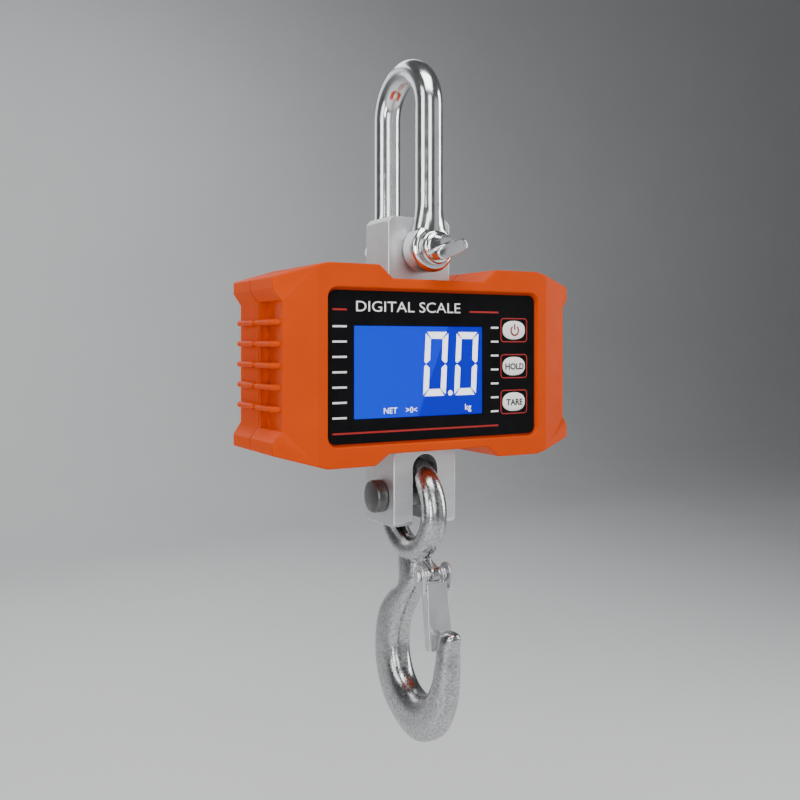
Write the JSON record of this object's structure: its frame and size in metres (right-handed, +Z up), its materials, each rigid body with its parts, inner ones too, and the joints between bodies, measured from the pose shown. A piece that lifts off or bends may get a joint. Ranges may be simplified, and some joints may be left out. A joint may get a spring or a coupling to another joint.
{
  "type": "crane scale",
  "caption": "Digital hanging crane scale: shackle on top, load cell through a two-part housing with display and keys, and a swinging safety hook with a sprung latch.",
  "frame": {"origin": "the point the scale hangs from: the inside top of the shackle's bow, on its centre plane", "axes": "+Z up along the line of the load, +X to the right of the display, +Y from the display towards the back"},
  "size_m": [0.162, 0.0746, 0.3294],
  "materials": {
    "orange_shell": "satin moulded, lightly rounded edges",
    "polished_steel": "bright polished",
    "satin_aluminium": "milled and bead blasted",
    "zinc_plated": "bright zinc over a forged skin",
    "black_oxide": "black oxide",
    "black_film": "gloss printed film",
    "clear_lens": "clear polished window",
    "lcd_blue": "lit blue liquid crystal",
    "white_plastic": "satin",
    "black_plastic": "matt moulded",
    "rubber": "matt black",
    "circuit_board": "solder mask",
    "battery_wrap": "printed sleeve without lettering",
    "nickel": "nickel plated",
    "gauge_foil": "foil on polyimide",
    "red_wire": "soft insulation",
    "label_plate": "brushed, blank"
  },
  "bodies": {
    "shackle": {"shackle_bow": "polished_steel", "shackle_pin": "polished_steel"},
    "scale_body": {"backlight_panel": "white_plastic", "battery_1": "battery_wrap", "battery_2": "battery_wrap", "battery_3": "battery_wrap", "battery_connector": "white_plastic", "battery_door": "orange_shell", "battery_lead_negative": "rubber", "battery_lead_positive": "red_wire", "battery_spring_1": "nickel", "battery_spring_2": "nickel", "battery_spring_3": "nickel", "battery_tray": "black_plastic", "board_screw_1": "zinc_plated", "board_screw_2": "zinc_plated", "board_screw_3": "zinc_plated", "board_screw_4": "zinc_plated", "case_gasket_left": "rubber", "case_gasket_right": "rubber", "case_screw_1": "zinc_plated", "case_screw_2": "zinc_plated", "case_screw_3": "zinc_plated", "case_screw_4": "zinc_plated", "contact_bridge_lower": "nickel", "contact_bridge_upper": "nickel", "display_lens": "clear_lens", "door_screw_left": "zinc_plated", "door_screw_right": "zinc_plated", "front_overlay": "black_film", "front_shell": "orange_shell", "hold_switch": "black_plastic", "hook_pin": "black_oxide", "hook_pin_clip": "black_oxide", "lcd_holder": "black_plastic", "lcd_panel": "lcd_blue", "load_cell": "satin_aluminium", "load_cell_screw_lower": "zinc_plated", "load_cell_screw_upper": "zinc_plated", "lower_seal": "rubber", "main_board": "circuit_board", "power_switch": "black_plastic", "rating_plate": "label_plate", "rear_shell": "orange_shell", "sensor_cable": "black_plastic", "sensor_connector": "white_plastic", "strain_gauge_left": "gauge_foil", "strain_gauge_right": "gauge_foil", "tare_switch": "black_plastic", "upper_seal": "rubber"},
    "hook": {"hook_body": "zinc_plated", "latch_pin": "zinc_plated"},
    "latch": {"latch_plate": "zinc_plated", "latch_spring": "polished_steel"},
    "power_button": {"power_key": "white_plastic"},
    "hold_button": {"hold_key": "white_plastic"},
    "tare_button": {"tare_key": "white_plastic"}
  },
  "joints": [
    {"name": "shackle_swing", "type": "hinge", "parent": "shackle", "child": "scale_body", "pos_m": [0, 0, -0.0812], "axis": [0, 1, 0], "range_deg": [-90, 90]},
    {"name": "hook_swing", "type": "hinge", "parent": "scale_body", "child": "hook", "pos_m": [0, -0.0044, -0.2062], "axis": [1, 0, 0], "range_deg": [-75, 80]},
    {"name": "latch_pivot", "type": "hinge", "parent": "hook", "child": "latch", "pos_m": [0, -0.0234, -0.2344], "axis": [1, 0, 0], "range_deg": [0, 38], "stiffness_Nm_per_rad": 0.05, "springref_deg": -28.65},
    {"name": "power_press", "type": "slide", "parent": "scale_body", "child": "power_button", "axis": [0, 1, 0], "range_m": [0, 0.0005], "stiffness_N_per_m": 1500, "springref_m": -0.0002},
    {"name": "hold_press", "type": "slide", "parent": "scale_body", "child": "hold_button", "axis": [0, 1, 0], "range_m": [0, 0.0005], "stiffness_N_per_m": 1500, "springref_m": -0.0002},
    {"name": "tare_press", "type": "slide", "parent": "scale_body", "child": "tare_button", "axis": [0, 1, 0], "range_m": [0, 0.0005], "stiffness_N_per_m": 1500, "springref_m": -0.0002}
  ]
}
